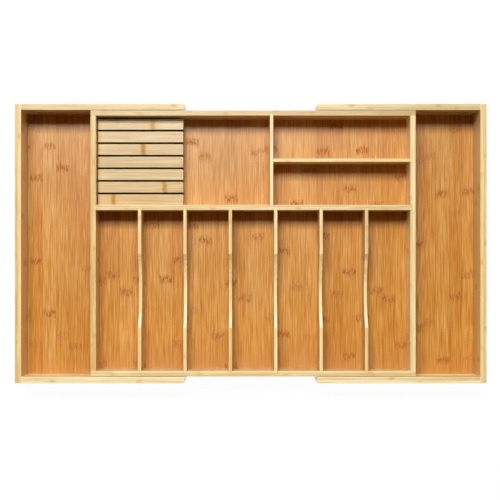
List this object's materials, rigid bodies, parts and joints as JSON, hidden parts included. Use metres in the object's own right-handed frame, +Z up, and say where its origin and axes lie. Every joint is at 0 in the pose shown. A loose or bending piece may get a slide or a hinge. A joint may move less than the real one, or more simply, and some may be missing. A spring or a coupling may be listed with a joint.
{
  "type": "expandable cutlery tray",
  "caption": "Bamboo drawer tray for cutlery with long slots, back compartments, a lift-out knife block and wings that slide out at both ends.",
  "frame": {"origin": "on the surface that the tray stands on, under the middle of the whole tray with both wings as they are at rest", "axes": "+X to the right along the way the wings slide, +Y to the back where the knife block is, +Z up"},
  "size_m": [0.711, 0.421, 0.064],
  "materials": {
    "natural_bamboo": "satin lacquer",
    "caramel_bamboo": "satin lacquer",
    "knife_block_bamboo": "satin lacquer",
    "dowel_wood": "bare"
  },
  "bodies": {
    "center_tray": {"center_back_wall": "natural_bamboo", "center_dowels": "dowel_wood", "center_floor_panel": "caramel_bamboo", "center_front_wall": "natural_bamboo", "center_left_wall": "natural_bamboo", "center_right_wall": "natural_bamboo", "cross_beam": "natural_bamboo", "cutlery_divider_1": "natural_bamboo", "cutlery_divider_2": "natural_bamboo", "cutlery_divider_3": "natural_bamboo", "cutlery_divider_4": "natural_bamboo", "cutlery_divider_5": "natural_bamboo", "cutlery_divider_6": "natural_bamboo", "guide_strip_back_left": "natural_bamboo", "guide_strip_back_right": "natural_bamboo", "guide_strip_front_left": "natural_bamboo", "guide_strip_front_right": "natural_bamboo", "section_divider": "natural_bamboo", "shelf_divider": "natural_bamboo"},
    "left_wing": {"left_wing_back_rail": "natural_bamboo", "left_wing_back_stop_plug": "natural_bamboo", "left_wing_dowels": "dowel_wood", "left_wing_end_wall": "natural_bamboo", "left_wing_floor_panel": "caramel_bamboo", "left_wing_front_rail": "natural_bamboo", "left_wing_front_stop_plug": "natural_bamboo"},
    "right_wing": {"right_wing_back_rail": "natural_bamboo", "right_wing_back_stop_plug": "natural_bamboo", "right_wing_dowels": "dowel_wood", "right_wing_end_wall": "natural_bamboo", "right_wing_floor_panel": "caramel_bamboo", "right_wing_front_rail": "natural_bamboo", "right_wing_front_stop_plug": "natural_bamboo"},
    "knife_block": {"knife_slat_1": "knife_block_bamboo", "knife_slat_2": "knife_block_bamboo", "knife_slat_3": "knife_block_bamboo", "knife_slat_4": "knife_block_bamboo", "knife_slat_5": "knife_block_bamboo", "knife_slat_6": "knife_block_bamboo", "knife_slat_7": "knife_block_bamboo", "knife_spacer_1": "knife_block_bamboo", "knife_spacer_2": "knife_block_bamboo", "knife_spacer_3": "knife_block_bamboo", "knife_spacer_4": "knife_block_bamboo", "knife_spacer_5": "knife_block_bamboo", "knife_spacer_6": "knife_block_bamboo"}
  },
  "joints": [
    {"name": "left_wing_slide", "type": "slide", "parent": "center_tray", "child": "left_wing", "axis": [-1, 0, 0], "range_m": [-0.103, 0]},
    {"name": "right_wing_slide", "type": "slide", "parent": "center_tray", "child": "right_wing", "axis": [1, 0, 0], "range_m": [-0.096, 0.007]},
    {"name": "knife_block_lift", "type": "slide", "parent": "center_tray", "child": "knife_block", "axis": [0, 0, 1], "range_m": [0, 0.08]}
  ]
}
